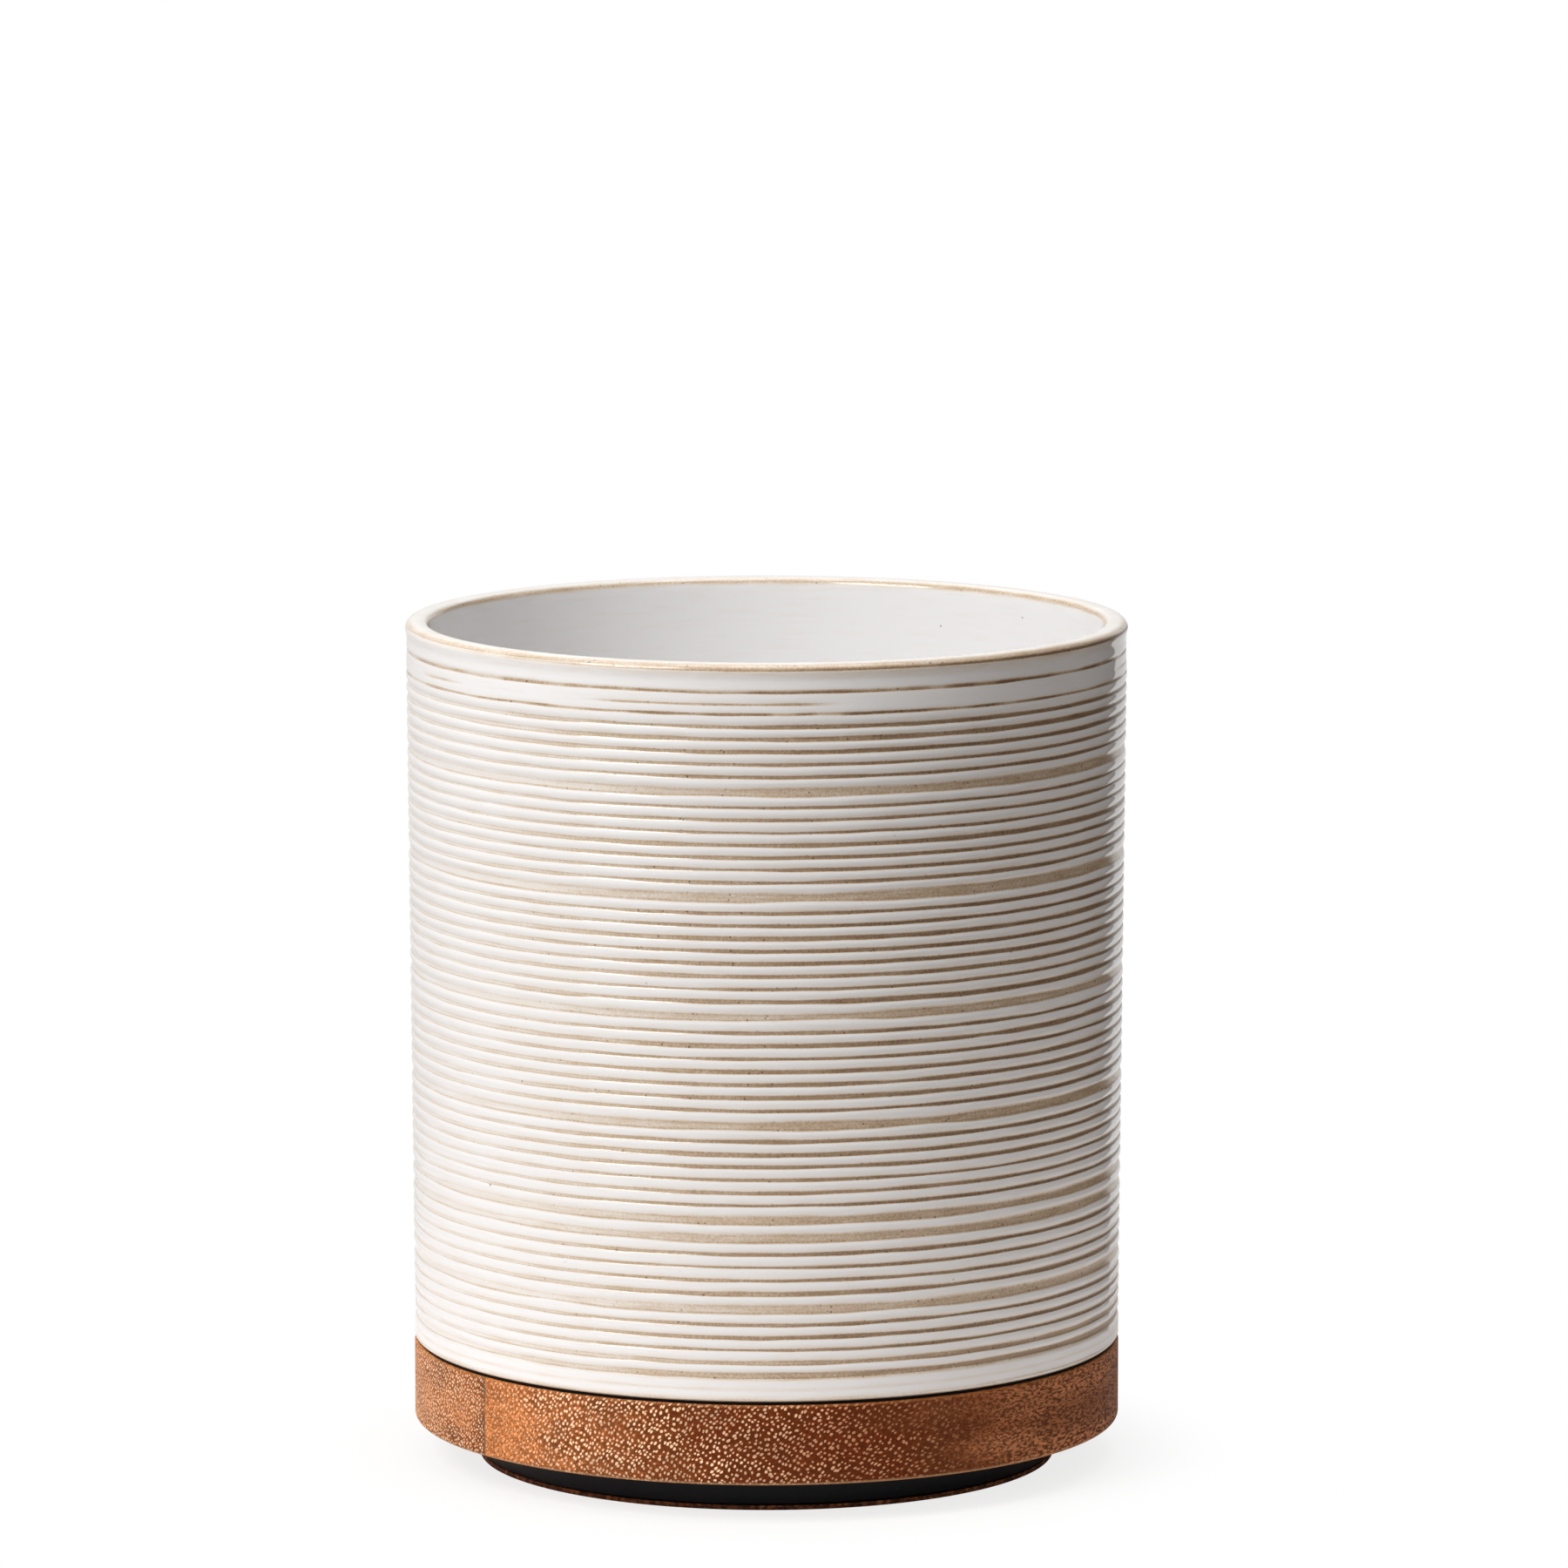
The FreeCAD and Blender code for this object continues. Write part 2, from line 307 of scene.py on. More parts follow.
# Cork
granule_scale = 950
granule_colours = (
    (0.0, (0.1, 0.035, 0.017)),
    (0.45, (0.23, 0.085, 0.036)),
    (0.75, (0.42, 0.17, 0.065)),
    (1.0, (0.65, 0.33, 0.14)),
)
joint_colour = (0.03, 0.012, 0.006)
joint_strength = 0.6
cork_scale = 700
cork_roughness = (0.7, 0.9)
granule_relief = (0.12 * mm, 0.7)

# Stage
floor_radius = 0.28
floor_sides = 96
floor_colour = (0.955, 0.92, 0.895, 1)
shadow_near = 0.066                         # from the axis, the shadow shows most within this distance
shadow_far = 0.11                           # and not at all beyond this one
shadow_lift = 0.8                           # share of white over the shadow where it shows most
ceiling_grey = 0.33
ceiling_edge = (0.55, 0.9)                  # how steeply a ray goes up where the ceiling starts and is full
room_greys = (                              # round the room: front, left, back, right, front
    (0.0, 0.27),
    (0.12, 0.27),
    (0.25, 0.3),
    (0.4, 0.65),
    (0.587, 1.0),
    (0.59, 0.02),
    (0.625, 0.03),
    (0.67, 0.14),
    (0.78, 0.17),
    (0.9, 0.17),
    (1.0, 0.27),
)
room_tint = (1.0, 0.87, 0.78)               # of its darkest walls, the white ones have none
key_place = (-0.557, -0.502, 0.75)
key_size = 0.55
key_power = 7.5
top_place = (0.1, -0.1, 1.5)
top_size = 1.0
top_power = 7.5

# Camera
camera_place = (0.00395, -2.140, 0.4594)
camera_tilt = math.radians(81.852)
camera_lens = 219.83
camera_sensor = 36


# Crock mesh

def wave(size, low_turns, high_turns):
    """A smooth closed wave round the crock, with a size that is its root mean square."""
    total = np.zeros(columns)
    power = 0.0
    for turns in range(low_turns, high_turns + 1):
        weight = turns ** -0.5
        total += weight * np.cos(turns * angles + rng.uniform(0, 2 * math.pi))
        power += weight * weight / 2
    return total * size / math.sqrt(power)


def spread(below, above, count):
    """Heights evenly spaced between two others."""
    step = (above - below) / (count + 1)
    return [below + step * (index + 1) for index in range(count)]


def groove_plan():
    """(height, width, depth, glaze left) of each groove, from the foot up."""
    plan = []
    stops = [ribs_low - wide_margin] + wide_grooves + [ribs_high + wide_margin]
    for index, count in enumerate(narrow_runs):
        if index > 0:
            width = wide_width * rng.uniform(*wide_width_range)
            plan.append((stops[index], width, groove_depth, rng.uniform(*wide_glaze_range)))
        run = spread(stops[index] + wide_margin, stops[index + 1] - wide_margin, count)
        for step, height in enumerate(run):
            at_foot = index == 0 and step < broad_foot_grooves
            width = (foot_groove_width if at_foot else narrow_width) * rng.uniform(*narrow_width_range)
            depth = groove_depth * rng.uniform(*narrow_depth_range)
            glaze_left = rng.uniform(*narrow_glaze_range) + (foot_groove_glaze if at_foot else 0.0)
            plan.append((height, width, depth, glaze_left))
    for height in hairlines:
        plan.append((height, hairline_width, hairline_depth, hairline_glaze))
    return plan


def hairline_shown(height):
    """How much of a hairline shows, round the crock: dashes of the broken one, most of the others."""
    if height != broken_hairline:
        waver = wave(hairline_waver, *hairline_turns)
        return np.clip(hairline_strength + waver, hairline_least, 1)
    shown = np.zeros(columns)
    for middle, half in dashes:
        away = np.abs((np.degrees(angles) - middle + 180) % 360 - 180)
        shown = np.maximum(shown, np.clip((half - away) / dash_fade + 0.5, 0, 1))
    return dash_strength * shown


def crest(height):
    """Radius of the bead crests at a height above the floor, drawn in a little under the lip."""
    flared = body_radius + (rim_radius - body_radius) * (height - foot_z) / (rim_z - foot_z)
    drawn_in = np.interp(rim_z - height, (lip_round, neck_middle, neck_low), (0, 1, 0))
    return flared - neck_depth * drawn_in


def glaze_with_painted_light(glaze, share=1.0):
    """A thin place in the glaze, painted paler on the lit side: painted light."""
    return glaze + share * painted_light_paling * (1 - glaze)


def row(radius, height, glaze, bare=0.0):
    """One closed row of points, with the glaze's thickness there."""
    full = np.ones(columns)
    return radius * full, height * full, glaze * full, bare * full


def arc_row(centre, radius, turn, glaze, bare=0.0):
    """One row on an arc in the profile, its angle in degrees up from straight out."""
    turn = math.radians(turn)
    return row(centre[0] + radius * math.cos(turn), centre[1] + radius * math.sin(turn), glaze, bare)


def arc_rows(centre, radius, start, end, count, glaze, bare=0.0):
    """Rows along an arc in the profile."""
    return [arc_row(centre, radius, turn, glaze, bare) for turn in np.linspace(start, end, count)]


def underside_rows():
    """From the middle of the recess out to the rounded edge of the foot."""
    recess_radius = body_radius - foot_ring
    recess_z = foot_z + foot_recess
    r = foot_round
    rows = [row(recess_radius * share, recess_z, 0.0, 1.0) for share in flat_shares]
    rows += arc_rows((recess_radius - r, recess_z - r), r, 90, 0, 5, 0.0, 1.0)
    rows += arc_rows((recess_radius + r, foot_z + r), r, 180, 270, 5, 0.0, 1.0)
    rows += arc_rows((body_radius - r, foot_z + r), r, 270, 315, 3, 0.0, 1.0)
    rows += arc_rows((body_radius - r, foot_z + r), r, 325, 355, 4, foot_glaze)
    return rows


def foot_band_rows(top):
    """Plain band between the foot and the lowest groove, with faint marks in the glaze."""
    rows = []
    for height in np.linspace(foot_z + foot_band_start, top, foot_band_count):
        away = min(abs(height - foot_z - mark) for mark in foot_lines)
        thin = foot_line_loss * math.exp(-(away / foot_line_spread) ** 2)
        rows.append(row(crest(height), height, 1.0 - thin))
    return rows


def groove_rows(low, high, depth, glaze_left, shown):
    """Rows across a groove: a shallow hollow where the glaze runs thin, with painted shade under the bead
    above towards its upper edge.
    """
    rows = []
    for share, hollow, cover, kept in groove_shape:
        height = low + (high - low) * share
        left = glaze_left * kept
        glaze = left + (1 - left) * cover
        glaze = 1 - shown * (1 - glaze)
        rows.append((crest(height) - depth * shown * hollow, height, glaze, np.zeros(columns)))
    return rows


def bead_rows(low, high, depth_below, depth_above, shown):
    """Rows up a bead. Its glaze is thinner just above a groove that shows, partly thin glaze and partly
    painted shade on the bead's lower side.
    """
    rows = []
    for share, cover in bead_glaze_and_shade:
        height = low + (high - low) * share
        lean = 2 * share ** bead_lean - 1
        depth = depth_below if lean < 0 else depth_above
        glaze = 1 - shown * (1 - glaze_with_painted_light(cover))
        rows.append((crest(height) - depth * bead_drop * lean * lean, height, glaze, np.zeros(columns)))
    return rows


def ribbed_rows():
    """The outer wall from the foot band to the topmost hairline."""
    plan = groove_plan()
    everywhere = np.ones(columns)
    lowest, lowest_width = plan[0][:2]
    rows = foot_band_rows(foot_z + lowest - lowest_width)
    below_top = None
    depth_below = None
    shown_below = None
    for height, width, depth, glaze_left in plan:
        narrowing = 1 - pinch * np.clip(wave(pinch_waver, *pinch_turns), 0, 1)
        middle = foot_z + height + wave(course_wobble, *course_turns)
        low = middle - width / 2 * narrowing + wave(edge_wobble, *edge_turns)
        high = middle + width / 2 * narrowing + wave(edge_wobble, *edge_turns)
        shown = everywhere
        glaze = glaze_with_painted_light(glaze_left)
        if height in hairlines:
            shown = hairline_shown(height)
            glaze = glaze_with_painted_light(glaze_left, hairline_painted_light_share)
        if below_top is not None:
            rows += bead_rows(below_top, low, depth_below, depth * shown, shown_below)
        rows += groove_rows(low, high, depth, glaze, shown)
        below_top = high
        depth_below = depth * shown
        shown_below = shown
    return rows


def lip_rows(start):
    """Rim band and rounded lip, where the glaze draws back from both shoulders, with painted shade just
    under the lip.
    """
    shoulder_z = rim_z - lip_round
    outside = (crest(rim_z) - lip_round, shoulder_z)
    inside = (bore_radius + lip_round, shoulder_z)
    rows = []
    for height in np.linspace(start, shoulder_z - under_lip_shade_start, rim_band_count)[1:]:
        rows.append(row(crest(height), height, 1.0))
    for drop, glaze in under_lip_glaze_and_shade:
        height = shoulder_z - drop
        rows.append(row(crest(height), height, glaze_with_painted_light(glaze)))
    for turn, glaze in lip_outside:
        rows.append(arc_row(outside, lip_round, turn, glaze_with_painted_light(glaze)))
    for turn, glaze in lip_top:
        rows.append(arc_row(outside, lip_round, turn, glaze_with_painted_light(glaze, lip_top_painted_light_share)))
    for turn, glaze in lip_inside:
        rows.append(arc_row(inside, lip_round, turn, glaze))
    return rows


def inside_rows():
    """Bore, cove and floor, down to the middle."""
    heights = np.linspace(bore_high - bore_start, bore_low, bore_count)
    rows = [row(bore_radius, height, 1.0) for height in heights]
    rows += arc_rows((bore_radius - floor_cove, bore_low), floor_cove, -12, -90, 7, 1.0)
    floor_z = bore_low - floor_cove
    rows += [row(bore_radius * share, floor_z, 1.0) for share in reversed(flat_shares)]
    return rows


def lathe(name, rows):
    """Closed mesh from rows that start and end near the axis."""
    radius, height, glaze, bare = (np.array(part) for part in zip(*rows))
    x = radius * np.sin(angles)
    y = -radius * np.cos(angles)
    points = np.stack([x, y, height], axis=-1).reshape(-1, 3)
    poles = [(0, 0, height[0].mean()), (0, 0, height[-1].mean())]
    points = np.concatenate([points, poles])
    count = len(rows)
    here = np.arange(columns)
    after = (here + 1) % columns
    lower = (np.arange(count - 1) * columns)[:, None]
    upper = lower + columns
    quads = np.stack([lower + here, lower + after, upper + after, upper + here], axis=-1)
    first_pole = count * columns
    last = (count - 1) * columns
    faces = quads.reshape(-1, 4).tolist()
    faces += [[first_pole, int(b), int(a)] for a, b in zip(here, after)]
    faces += [[first_pole + 1, int(last + a), int(last + b)] for a, b in zip(here, after)]
    mesh = bpy.data.meshes.new(name)
    mesh.from_pydata(points.tolist(), [], faces)
    for label, values in (("glaze", glaze), ("bare", bare)):
        ends = [values[0].mean(), values[-1].mean()]
        data = np.concatenate([values.reshape(-1), ends]).astype(np.float32)
        mesh.attributes.new(label, "FLOAT", "POINT").data.foreach_set("value", data)
    mesh.shade_smooth()
    made = bpy.data.objects.new(name, mesh)
    bpy.context.scene.collection.objects.link(made)
    return made


def crock_piece():
    wall = ribbed_rows()
    lip = lip_rows(wall[-1][1].max())
    uneven = thrown_limit - np.clip(wave(thrown_wobble, *thrown_turns), -thrown_limit, thrown_limit)
    wall = [(radius - uneven, height, glaze, bare) for radius, height, glaze, bare in wall]
    made = lathe("glazed_crock", underside_rows() + wall + lip + inside_rows())
    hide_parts("crock")
    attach(made, "crock")
    return made


# Shader building blocks

def new_material(name):
    made = bpy.data.materials.new(name)
    made.use_nodes = True
    return made, made.node_tree, made.node_tree.nodes["Principled BSDF"]


def put(tree, socket, value):
    """Set a socket to a value, or link another node's output to it."""
    if isinstance(value, bpy.types.NodeSocket):
        tree.links.new(value, socket)
    else:
        socket.default_value = value


def add(tree, kind, inputs=(), **settings):
    made = tree.nodes.new("ShaderNode" + kind)
    for name, value in settings.items():
        setattr(made, name, value)
    for key, value in dict(inputs).items():
        put(tree, made.inputs[key], value)
    return made


def place(tree):
    """Position on the piece at rest, in metres."""
    return add(tree, "TexCoord").outputs["Object"]


def noise(tree, vector, scale, detail=3.0, rough=0.55):
    """Noise from 0 to 1, with one scale or with one for each axis."""
    if isinstance(scale, tuple):
        vector = add(tree, "Mapping", {"Vector": vector, "Scale": scale}).outputs[0]
        scale = 1.0
    inputs = {"Vector": vector, "Scale": scale, "Detail": detail, "Roughness": rough}
    return add(tree, "TexNoise", inputs).outputs["Fac"]


def cells(tree, vector, scale):
    """Distance to the nearest cell centre, and a random colour for each cell."""
    made = add(tree, "TexVoronoi", {"Vector": vector, "Scale": scale})
    return made.outputs["Distance"], made.outputs["Color"]


def dots(tree, vector, scale, near, far, chosen_from, strength=1.0):
    """Round dots that fade between two distances, in the cells whose random value is high enough."""
    away, random = cells(tree, vector, scale)
    chosen = ease(tree, random, chosen_from, chosen_from + choice_soft, 0.0, strength)
    return times(tree, ease(tree, away, near, far, 1.0, 0.0), chosen)


def calc(tree, operation, first, second=0.0):
    return add(tree, "Math", {0: first, 1: second}, operation=operation).outputs[0]


def plus(tree, first, second):
    return calc(tree, "ADD", first, second)


def minus(tree, first, second):
    return calc(tree, "SUBTRACT", first, second)


def times(tree, first, second):
    return calc(tree, "MULTIPLY", first, second)


def size_of(tree, value):
    return calc(tree, "ABSOLUTE", value)


def ease(tree, value, low, high, out_low=0.0, out_high=1.0):
    """Smooth step of a value from one range to another."""
    inputs = {"Value": value, "From Min": low, "From Max": high, "To Min": out_low, "To Max": out_high}
    return add(tree, "MapRange", inputs, interpolation_type="SMOOTHSTEP").outputs["Result"]


def blend(tree, factor, first, second, blend_type="MIX"):
    made = add(tree, "Mix", data_type="RGBA", blend_type=blend_type)
    put(tree, made.inputs[0], factor)
    put(tree, made.inputs[6], rgba(first))
    put(tree, made.inputs[7], rgba(second))
    return made.outputs[2]


def rgba(colour):
    if isinstance(colour, bpy.types.NodeSocket):
        return colour
    return (*colour, 1.0)


def ramp(tree, value, stops):
    """Colour ramp through (position, colour) stops."""
    made = add(tree, "ValToRGB", {"Fac": value})
    points = made.color_ramp.elements
    while len(points) < len(stops):
        points.new(0.5)
    for point, (position, colour) in zip(points, stops):
        point.position = position
        point.color = rgba(colour)
    return made.outputs["Color"]


def roughen(tree, shader, marks, at_low, at_high):
    """Roughness that follows a noise, over most of its range."""
    put(tree, shader.inputs["Roughness"], ease(tree, marks, 0.2, 0.8, at_low, at_high))


def bump(tree, shader, height, relief):
    depth, strength = relief
    made = add(tree, "Bump", {"Height": height, "Distance": depth, "Strength": strength})
    tree.links.new(made.outputs[0], shader.inputs["Normal"])


# Materials

def glaze_material():
    """Cream-white glaze that breaks to tan where it runs thin, over speckled clay, with the painted light
    and shade that the glaze share carries.
    """
    made, tree, shader = new_material("glaze")
    spot = place(tree)
    cover = add(tree, "Attribute", attribute_name="glaze").outputs["Fac"]
    bare = add(tree, "Attribute", attribute_name="bare").outputs["Fac"]
    drawn = noise(tree, spot, drawn_scale, 4.0, 0.6)
    fine = noise(tree, spot, fine_scale, 3.0, 0.65)
    uneven = times(tree, minus(tree, drawn, 0.5), ease(tree, cover, 0.8, 1.0, 0.5, 0.3))
    grainy = times(tree, minus(tree, fine, 0.5), ease(tree, cover, 0.3, 1.0, 0.7, 0.1))
    thick = plus(tree, plus(tree, cover, uneven), grainy)
    colour = ramp(tree, thick, glaze_colours)
    speck = dots(tree, spot, speck_scale, 0.11, 0.22, 0.6)
    in_groove = ease(tree, cover, 0.35, 0.9, 0.75, 0.02)
    colour = blend(tree, times(tree, speck, in_groove), colour, speck_colour)
    pinhole = dots(tree, spot, pinhole_scale, 0.02, 0.04, 0.55, pinhole_strength)
    colour = blend(tree, pinhole, colour, pinhole_colour)
    clay = ramp(tree, noise(tree, spot, clay_scale, 4.0), clay_colours)
    put(tree, shader.inputs["Base Color"], blend(tree, bare, colour, clay))
    gloss = ease(tree, thick, 0.1, 0.8, thin_roughness, thick_roughness)
    roughness = calc(tree, "MAXIMUM", gloss, times(tree, bare, clay_roughness))
    put(tree, shader.inputs["Roughness"], roughness)
    skin = plus(tree, noise(tree, spot, skin_scale, 2.0), times(tree, fine, 0.06))
    bump(tree, shader, skin, skin_relief)
    return made


def board_place(tree, spot):
    """Position in the board, and its parts: across the staves, along the fibres, up."""
    turned = add(tree, "Mapping", {"Vector": spot, "Rotation": (0, 0, grain_turn)}).outputs[0]
    split = add(tree, "SeparateXYZ", {0: turned})
    return turned, split.outputs["X"], split.outputs["Y"], split.outputs["Z"]


def pores(tree, across, along, up, pore_size, strength):
    """Slanted strokes on the end grain, smaller where they show less, and the ground between them."""
    deep = times(tree, along, pore_depth_share)
    where = add(tree, "CombineXYZ", {"X": across, "Y": up, "Z": deep}).outputs[0]
    shake_inputs = {"Vector": where, "Scale": pore_shake_scale, "Detail": 1.0}
    shake = add(tree, "TexNoise", shake_inputs).outputs["Color"]
    nudge = add(tree, "VectorMath", {0: shake, 1: (pore_shake,) * 3}, operation="MULTIPLY").outputs[0]
    bent = add(tree, "VectorMath", {0: where, 1: nudge}, operation="ADD").outputs[0]
    slanted = add(tree, "Mapping", {"Vector": bent, "Rotation": (0, 0, pore_slant)}).outputs[0]
    scale = (1 / pore_size, pore_stretch / pore_size, 0)
    sized = add(tree, "Mapping", {"Vector": slanted, "Scale": scale}).outputs[0]
    inputs = {"Vector": sized, "Scale": 1.0, "Randomness": pore_order}
    made = add(tree, "TexVoronoi", inputs, voronoi_dimensions="2D")
    away = made.outputs["Distance"]
    smallest, largest = pore_reach
    reach = plus(tree, times(tree, made.outputs["Color"], largest - smallest), smallest)
    reach = times(tree, reach, ease(tree, strength, 0.2, 1.0, 0.7, 1.0))
    stroke = ease(tree, minus(tree, away, reach), -0.03, 0.05, 1.0, 0.0)
    return stroke, ease(tree, away, 0.25, 0.5)


def wood_ground(tree, grain, share, end_grain, streaks, bands_with_painted_light):
    """Growth bands with fine streaks, weaker on the end grain, and darker clouds. The bands carry painted
    light, paler towards the lit left.
    """
    streaky = ease(tree, end_grain, 0.0, 1.0, 1.0, 0.6)
    shade = ramp(tree, streaks, streak_shades)
    colour = blend(tree, streaky, ramp(tree, share, bands_with_painted_light), shade, "MULTIPLY")
    cloud = ease(tree, noise(tree, grain, cloud_scale), 0.36, 0.58, cloud_strength, 0.0)
    return blend(tree, cloud, colour, dark_wood)


def wood_edge_highlights_and_seam(tree, spot, across, up, colour):
    """Painted highlight along the rounded lower edge, partly sanded wood, and along the upper edge, and the
    dark, ragged glue line.
    """
    low_edge_highlight = ease(tree, minus(tree, up, board_low.z), *low_edge_highlight_band, low_edge_highlight_strength, 0.0)
    colour = blend(tree, low_edge_highlight, colour, low_edge_highlight_colour)
    from_top = size_of(tree, minus(tree, board_top, up))
    high_edge_highlight = ease(tree, from_top, *high_edge_highlight_band, high_edge_highlight_strength, 0.0)
    colour = blend(tree, high_edge_highlight, colour, high_edge_highlight_colour)
    ragged = minus(tree, noise(tree, spot, seam_ragged_scale, 2.0), 0.3)
    ragged = times(tree, ragged, seam_ragged)
    gap = size_of(tree, minus(tree, across, glue_line))
    seam = ease(tree, minus(tree, gap, ragged), -seam_soft, seam_soft, seam_strength, 0.0)
    return blend(tree, seam, colour, seam_colour)


def wood_material(name, bands_with_painted_light, pore_bands, pore_size, shift):
    """Oiled hardwood: pale pores on the end grain, dark flecks where the fibres run along the face."""
    made, tree, shader = new_material(name)
    coords = add(tree, "TexCoord")
    spot = coords.outputs["Object"]
    turned, across, along, up = board_place(tree, spot)
    fibre = (math.sin(grain_turn), math.cos(grain_turn), 0)
    facing = add(tree, "VectorMath", {0: coords.outputs["Normal"], 1: fibre}, operation="DOT_PRODUCT")
    end_grain = ease(tree, size_of(tree, facing.outputs["Value"]), 0.2, 0.7)
    grain = add(tree, "VectorMath", {0: turned, 1: (shift,) * 3}, operation="ADD").outputs[0]
    drift = times(tree, minus(tree, noise(tree, grain, band_drift_scale), 0.5), band_drift)
    share = calc(tree, "DIVIDE", plus(tree, across, drift), 2 * body_radius)
    share = plus(tree, share, 0.5)
    streaks = noise(tree, grain, streak_scale, 1.0, 0.6)
    colour = wood_ground(tree, grain, share, end_grain, streaks, bands_with_painted_light)
    strength = ramp(tree, share, [(position, (level,) * 3) for position, level in pore_bands])
    pore, between = pores(tree, across, along, up, pore_size, strength)
    patch = ease(tree, noise(tree, grain, patch_scale, 2.0), 0.34, 0.6, 0.5, 1.0)
    dense = times(tree, patch, times(tree, end_grain, strength))
    darker = times(tree, times(tree, between, dense), between_strength)
    colour = blend(tree, darker, colour, dark_wood)
    # pores tinted by band, paler towards the lit left: partly painted light
    colour = blend(tree, times(tree, pore, dense), colour, ramp(tree, share, pore_tints_with_painted_light))
    broken = ease(tree, noise(tree, grain, fleck_scale, 2.0), 0.48, 0.6, 0.0, fleck_strength)
    along_face = ease(tree, end_grain, 0.0, 0.6, 1.0, 0.0)
    fleck = times(tree, times(tree, pore, broken), along_face)
    colour = blend(tree, fleck, colour, fleck_colour)
    colour = wood_edge_highlights_and_seam(tree, spot, across, up, colour)
    put(tree, shader.inputs["Base Color"], colour)
    shader.inputs["Specular IOR Level"].default_value = wood_specular
    roughen(tree, shader, streaks, *wood_roughness)
    bump(tree, shader, minus(tree, streaks, times(tree, pore, 0.3)), wood_relief)
    return made


def plastic_material(name, colour, roughness, dust, specular):
    """Moulded plastic with a fine grain, faint wear and a few specks of dust."""
    made, tree, shader = new_material(name)
    spot = place(tree)
    wear = noise(tree, spot, wear_scale, 4.0)
    lighter = tuple(min(1.0, c * wear_gain + wear_lift) for c in colour)
    tone = blend(tree, ease(tree, wear, 0.35, 0.7), colour, lighter)
    specks = dots(tree, spot, dust_scale, 0.04, 0.09, 0.78, dust)
    put(tree, shader.inputs["Base Color"], blend(tree, specks, tone, dust_colour))
    roughen(tree, shader, wear, roughness - wear_smooth, roughness + wear_rough)
    shader.inputs["Specular IOR Level"].default_value = specular
    bump(tree, shader, noise(tree, spot, moulded_scale), moulded_relief)
    return made


def rubber_material():
    """Matte black rubber."""
    made, tree, shader = new_material("gasket_rubber")
    grain = noise(tree, place(tree), rubber_scale)
    put(tree, shader.inputs["Base Color"], ramp(tree, grain, rubber_colours))
    shader.inputs["Specular IOR Level"].default_value = rubber_specular
    roughen(tree, shader, grain, *rubber_roughness)
    bump(tree, shader, grain, moulded_relief)
    return made


def steel_material(name, colour, low_rough, high_rough, mark_scale):
    """Plated or polished steel with fine marks."""
    made, tree, shader = new_material(name)
    spot = place(tree)
    marks = noise(tree, spot, mark_scale)
    clouds = ease(tree, noise(tree, spot, dull_scale), 0.3, 0.7)
    dull = tuple(c * dull_share for c in colour)
    put(tree, shader.inputs["Base Color"], blend(tree, clouds, dull, colour))
    shader.inputs["Metallic"].default_value = 1.0
    roughen(tree, shader, marks, low_rough, high_rough)
    bump(tree, shader, marks, mark_relief)
    return made


def cork_material():
    """Dark pressed cork: granules of several browns with darker joints."""
    made, tree, shader = new_material("cork")
    spot = place(tree)
    away, random = cells(tree, spot, granule_scale)
    tone = ramp(tree, random, granule_colours)
    joint = times(tree, ease(tree, away, 0.45, 0.75), joint_strength)
    put(tree, shader.inputs["Base Color"], blend(tree, joint, tone, joint_colour))
    roughen(tree, shader, noise(tree, spot, cork_scale), *cork_roughness)
    bump(tree, shader, away, granule_relief)
    return made


def dress(node, material):
    """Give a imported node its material."""
    target = frame["nodes"][node]
    if not target.material_slots:
        target.data.materials.append(material)
    for slot in target.material_slots:
        slot.material = material


def dress_all():
    crock_piece().data.materials.append(glaze_material())
    dress("seat_gasket", rubber_material())
    dress("main_stave", wood_material("main_wood", main_bands_with_painted_light, main_pores, main_pore_size, main_shift))
    dress("side_stave", wood_material("side_wood", side_bands_with_painted_light, side_pores, side_pore_size, side_shift))
    dress("swivel_base", plastic_material("base_plastic", *base_look))
    dress("swivel_plate", plastic_material("plate_plastic", *plate_look))
    dress("ball_cage", plastic_material("cage_nylon", *cage_look))
    dress("cork_pad", cork_material())
    dress("bearing_balls", steel_material("ball_steel", *ball_look))
    dress("plate_screws", steel_material("screw_steel", *screw_look))
    pivot_steel = steel_material("pivot_steel", *pivot_look)
    for node in ("pivot_bolt", "pivot_washer", "pivot_nut"):
        dress(node, pivot_steel)


# Stage

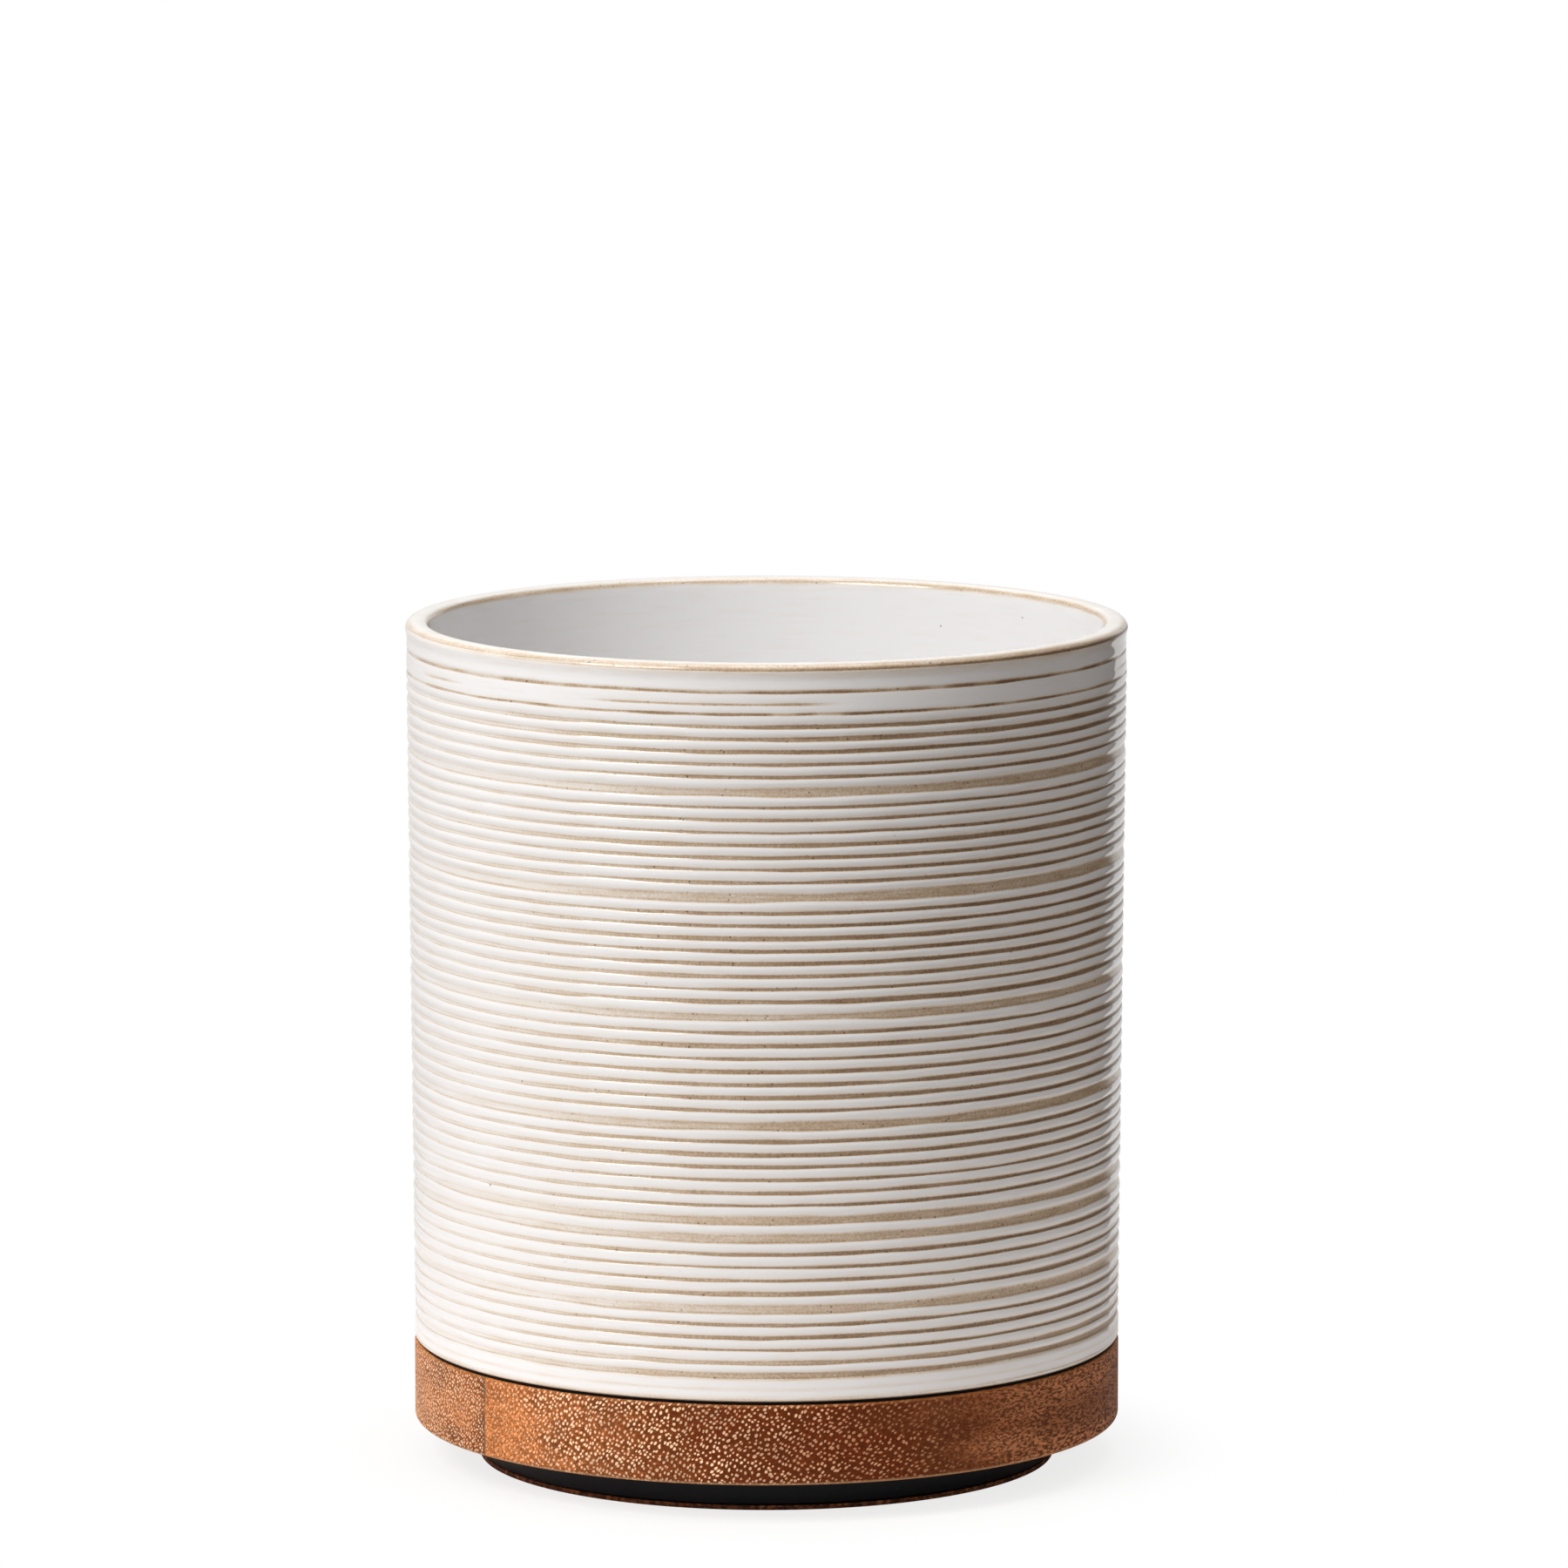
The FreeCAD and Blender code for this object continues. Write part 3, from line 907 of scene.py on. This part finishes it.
def floor():
    """White round floor. To the camera it fades to white and keeps the soft shadow near the part."""
    turns = np.linspace(0, 2 * math.pi, floor_sides, endpoint=False)
    points = [(floor_radius * math.cos(t), floor_radius * math.sin(t), 0) for t in turns]
    mesh = bpy.data.meshes.new("floor")
    mesh.from_pydata(points, [], [range(floor_sides)])
    made = bpy.data.objects.new("floor", mesh)
    bpy.context.scene.collection.objects.link(made)
    material = bpy.data.materials.new("floor")
    material.use_nodes = True
    tree = material.node_tree
    tree.nodes.clear()
    distance = add(tree, "VectorMath", {0: place(tree)}, operation="LENGTH").outputs["Value"]
    lift = ease(tree, distance, shadow_near, shadow_far, shadow_lift, 1.0)
    seen = add(tree, "LightPath").outputs["Is Camera Ray"]
    paper = add(tree, "BsdfDiffuse", {"Color": floor_colour})
    white = add(tree, "Emission", {"Color": (1, 1, 1, 1), "Strength": 1.0})
    lifted = times(tree, seen, lift)
    mixed = add(tree, "MixShader", {0: lifted, 1: paper.outputs[0], 2: white.outputs[0]})
    add(tree, "OutputMaterial", {"Surface": mixed.outputs[0]})
    mesh.materials.append(material)


def wall_colour(grey):
    """Grey of a room wall with its tint, which is stronger in a darker one."""
    return [grey * part ** (1 - grey) for part in room_tint]


def studio_world():
    """White to the camera. To everything else a room: white behind, softly lit left, dark right."""
    world = bpy.data.worlds.new("studio")
    bpy.context.scene.world = world
    world.use_nodes = True
    tree = world.node_tree
    tree.nodes.clear()
    toward = add(tree, "SeparateXYZ", {0: add(tree, "TexCoord").outputs["Generated"]})
    turn = calc(tree, "ARCTAN2", toward.outputs["X"], toward.outputs["Y"])
    share = plus(tree, calc(tree, "DIVIDE", turn, 2 * math.pi), 0.5)
    walls = ramp(tree, share, [(position, wall_colour(grey)) for position, grey in room_greys])
    ceiling = ease(tree, toward.outputs["Z"], *ceiling_edge)
    room = blend(tree, ceiling, walls, (ceiling_grey,) * 3)
    seen = add(tree, "LightPath").outputs["Is Camera Ray"]
    colour = blend(tree, seen, room, (1, 1, 1))
    backdrop = add(tree, "Background", {"Color": colour, "Strength": 1.0})
    add(tree, "OutputWorld", {"Surface": backdrop.outputs[0]})


def soft_lamp(name, where, size, power):
    """Round area lamp that points at the middle of the crock and its board."""
    data = bpy.data.lights.new(name, "AREA")
    data.shape = "DISK"
    data.size = size
    data.energy = power
    lamp = bpy.data.objects.new(name, data)
    bpy.context.scene.collection.objects.link(lamp)
    lamp.location = where
    aim = Vector((0, 0, (board_low.z + rim_z) / 2)) - Vector(where)
    lamp.rotation_euler = aim.to_track_quat("-Z", "Y").to_euler()


def camera():
    data = bpy.data.cameras.new("camera")
    data.lens = camera_lens
    data.sensor_width = camera_sensor
    made = bpy.data.objects.new("camera", data)
    bpy.context.scene.collection.objects.link(made)
    made.location = camera_place
    made.rotation_euler = (camera_tilt, 0, 0)
    bpy.context.scene.camera = made


dress_all()
floor()
studio_world()
soft_lamp("key", key_place, key_size, key_power)
soft_lamp("top", top_place, top_size, top_power)
camera()
bpy.context.scene.view_settings.view_transform = "Standard"
